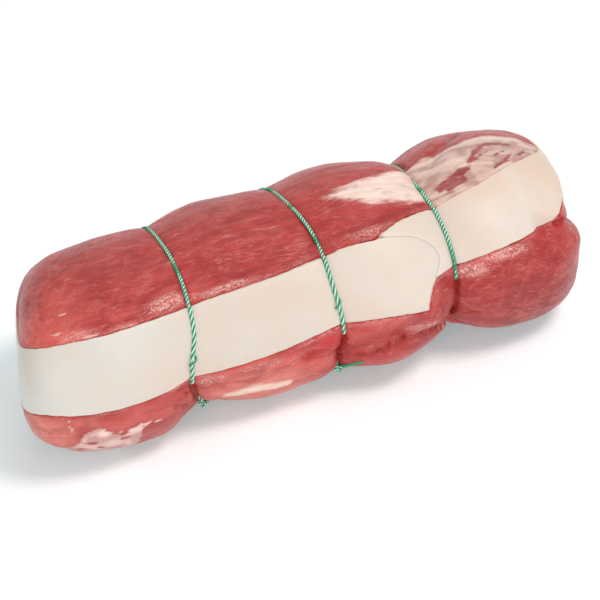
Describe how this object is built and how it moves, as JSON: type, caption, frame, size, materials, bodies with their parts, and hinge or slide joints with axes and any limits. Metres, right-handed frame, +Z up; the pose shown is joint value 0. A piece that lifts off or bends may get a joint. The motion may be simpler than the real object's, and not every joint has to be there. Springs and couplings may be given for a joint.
{
  "type": "tied pork roast",
  "caption": "Raw boned and rolled pork roast, barded with strips of fat along its side and round its ends, and held in shape by loops of striped butcher's twine.",
  "frame": {"origin": "middle of the roast's box, on the surface that it rests on", "axes": "+X along the roast, from the end that the longer fat strip wraps to the end where the shorter one climbs over the top; -Y towards the shown side; +Z up"},
  "size_m": [0.2598, 0.0959, 0.0788],
  "materials": {
    "raw_meat": "moist raw meat, satin with wet glints",
    "fat": "creamy back fat, soft satin",
    "twine": "twisted green and white cotton"
  },
  "bodies": {
    "root": {"meat": "raw_meat", "fat_strip_left": "fat", "fat_strip_right": "fat", "twine_left": "twine", "twine_middle": "twine", "twine_right": "twine"}
  },
  "joints": []
}
